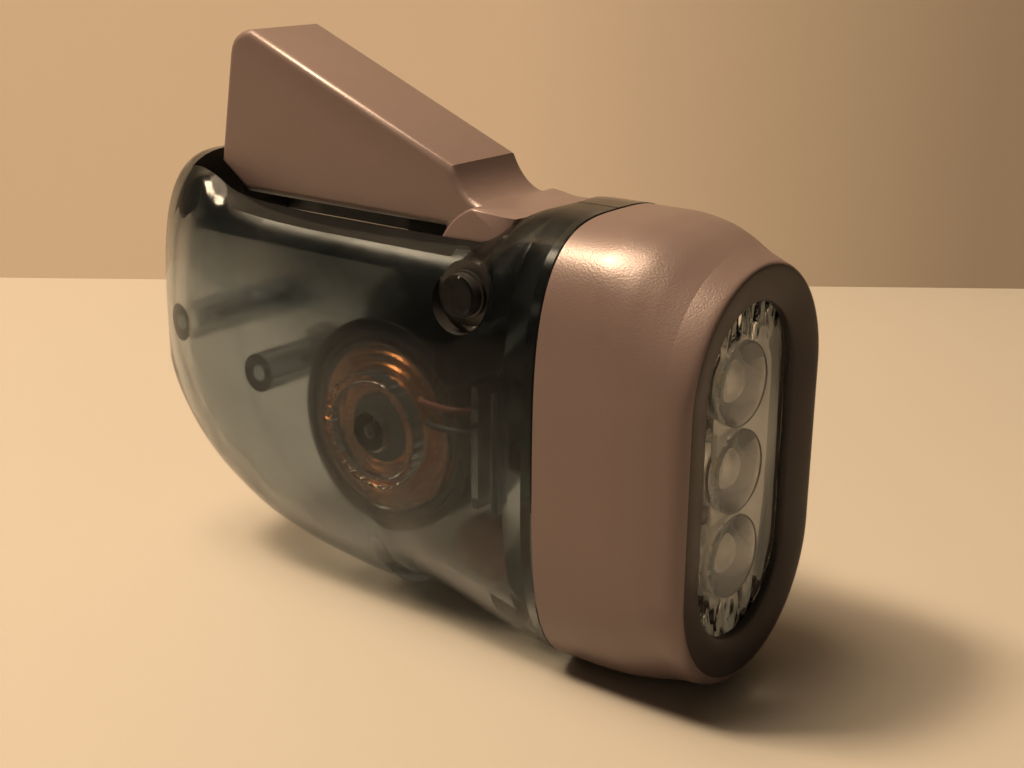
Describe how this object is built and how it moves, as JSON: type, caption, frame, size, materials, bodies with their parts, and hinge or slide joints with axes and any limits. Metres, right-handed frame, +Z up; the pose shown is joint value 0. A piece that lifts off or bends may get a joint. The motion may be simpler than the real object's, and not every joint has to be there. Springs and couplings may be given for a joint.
{
  "type": "squeeze dynamo flashlight",
  "caption": "Hand-powered flashlight: squeezing a top lever turns a gear train and dynamo in a smoky clear case; lamps sit behind a domed lens.",
  "frame": {"origin": "middle of the bounding box, at the bottom face that it stands on", "axes": "+X towards the lamps, +Y across the case, +Z up towards the lever"},
  "size_m": [0.1036, 0.0386, 0.0843],
  "materials": {
    "smoky_shell": "smoky translucent gloss plastic",
    "taupe_plastic": "satin taupe with a fine metallic grain",
    "bezel_plastic": "dark brown, satin",
    "clear_lens": "clear moulded plastic",
    "lamp": "clear-bodied lamp",
    "steel": "plain",
    "ferrite": "matt",
    "copper_wire": "lacquered copper",
    "brass": "plain",
    "gear_nylon": "moulded",
    "black_plastic": "moulded",
    "board": "lacquered board",
    "cell_sleeve": "sleeve",
    "red_lead": "sleeved wire",
    "black_lead": "sleeved wire"
  },
  "bodies": {
    "case": {"left_shell": "smoky_shell", "right_shell": "smoky_shell", "rear_screw": "steel", "tail_screw": "steel", "front_screw": "steel", "foot_screw": "steel", "head_housing": "taupe_plastic", "bezel_ring": "bezel_plastic", "lens_plate": "clear_lens", "lamp_board": "board", "bottom_lamp": "lamp", "middle_lamp": "lamp", "top_lamp": "lamp", "lever_pin": "steel", "lever_spring": "steel", "first_shaft": "steel", "second_shaft": "steel", "gear_plate": "steel", "coil_bobbin": "black_plastic", "coil_winding": "copper_wire", "circuit_board": "board", "capacitor": "black_plastic", "lower_diode": "black_plastic", "upper_diode": "black_plastic", "storage_cell": "cell_sleeve", "upper_coil_lead": "red_lead", "lower_coil_lead": "black_lead", "left_lamp_lead": "red_lead", "right_lamp_lead": "black_lead"},
    "lever": {"squeeze_lever": "taupe_plastic"},
    "drive": {"drive_pinion": "gear_nylon"},
    "first": {"first_gear": "gear_nylon"},
    "second": {"second_gear": "gear_nylon"},
    "rotor": {"rotor_cup": "steel", "rotor_magnet": "ferrite", "rotor_shaft": "steel", "rotor_pinion": "brass"}
  },
  "joints": [
    {"name": "lever_pivot", "type": "hinge", "parent": "case", "child": "lever", "pos_m": [0.01535, 0, 0.0529], "axis": [0, -1, 0], "range_deg": [0, 21], "stiffness_Nm_per_rad": 0.25, "springref_deg": -20.05, "deforming": ["lever_spring"]},
    {"name": "drive_spin", "type": "hinge", "parent": "case", "child": "drive", "pos_m": [-0.00976, 0, 0.03799], "axis": [0, -1, 0], "range_deg": [-132.3, 0]},
    {"name": "first_spin", "type": "hinge", "parent": "case", "child": "first", "pos_m": [-0.00976, 0, 0.03799], "axis": [0, -1, 0], "continuous": true},
    {"name": "second_spin", "type": "hinge", "parent": "case", "child": "second", "pos_m": [-0.01084, 0, 0.02514], "axis": [0, -1, 0], "continuous": true},
    {"name": "rotor_spin", "type": "hinge", "parent": "case", "child": "rotor", "pos_m": [-0.00115, 0, 0.0299], "axis": [0, -1, 0], "continuous": true}
  ],
  "couplings": [
    {"joint": "drive_spin", "follows": "lever_pivot", "ratio": -6.3},
    {"joint": "second_spin", "follows": "rotor_spin", "ratio": -0.28571},
    {"joint": "first_spin", "follows": "rotor_spin", "ratio": 0.08658}
  ]
}
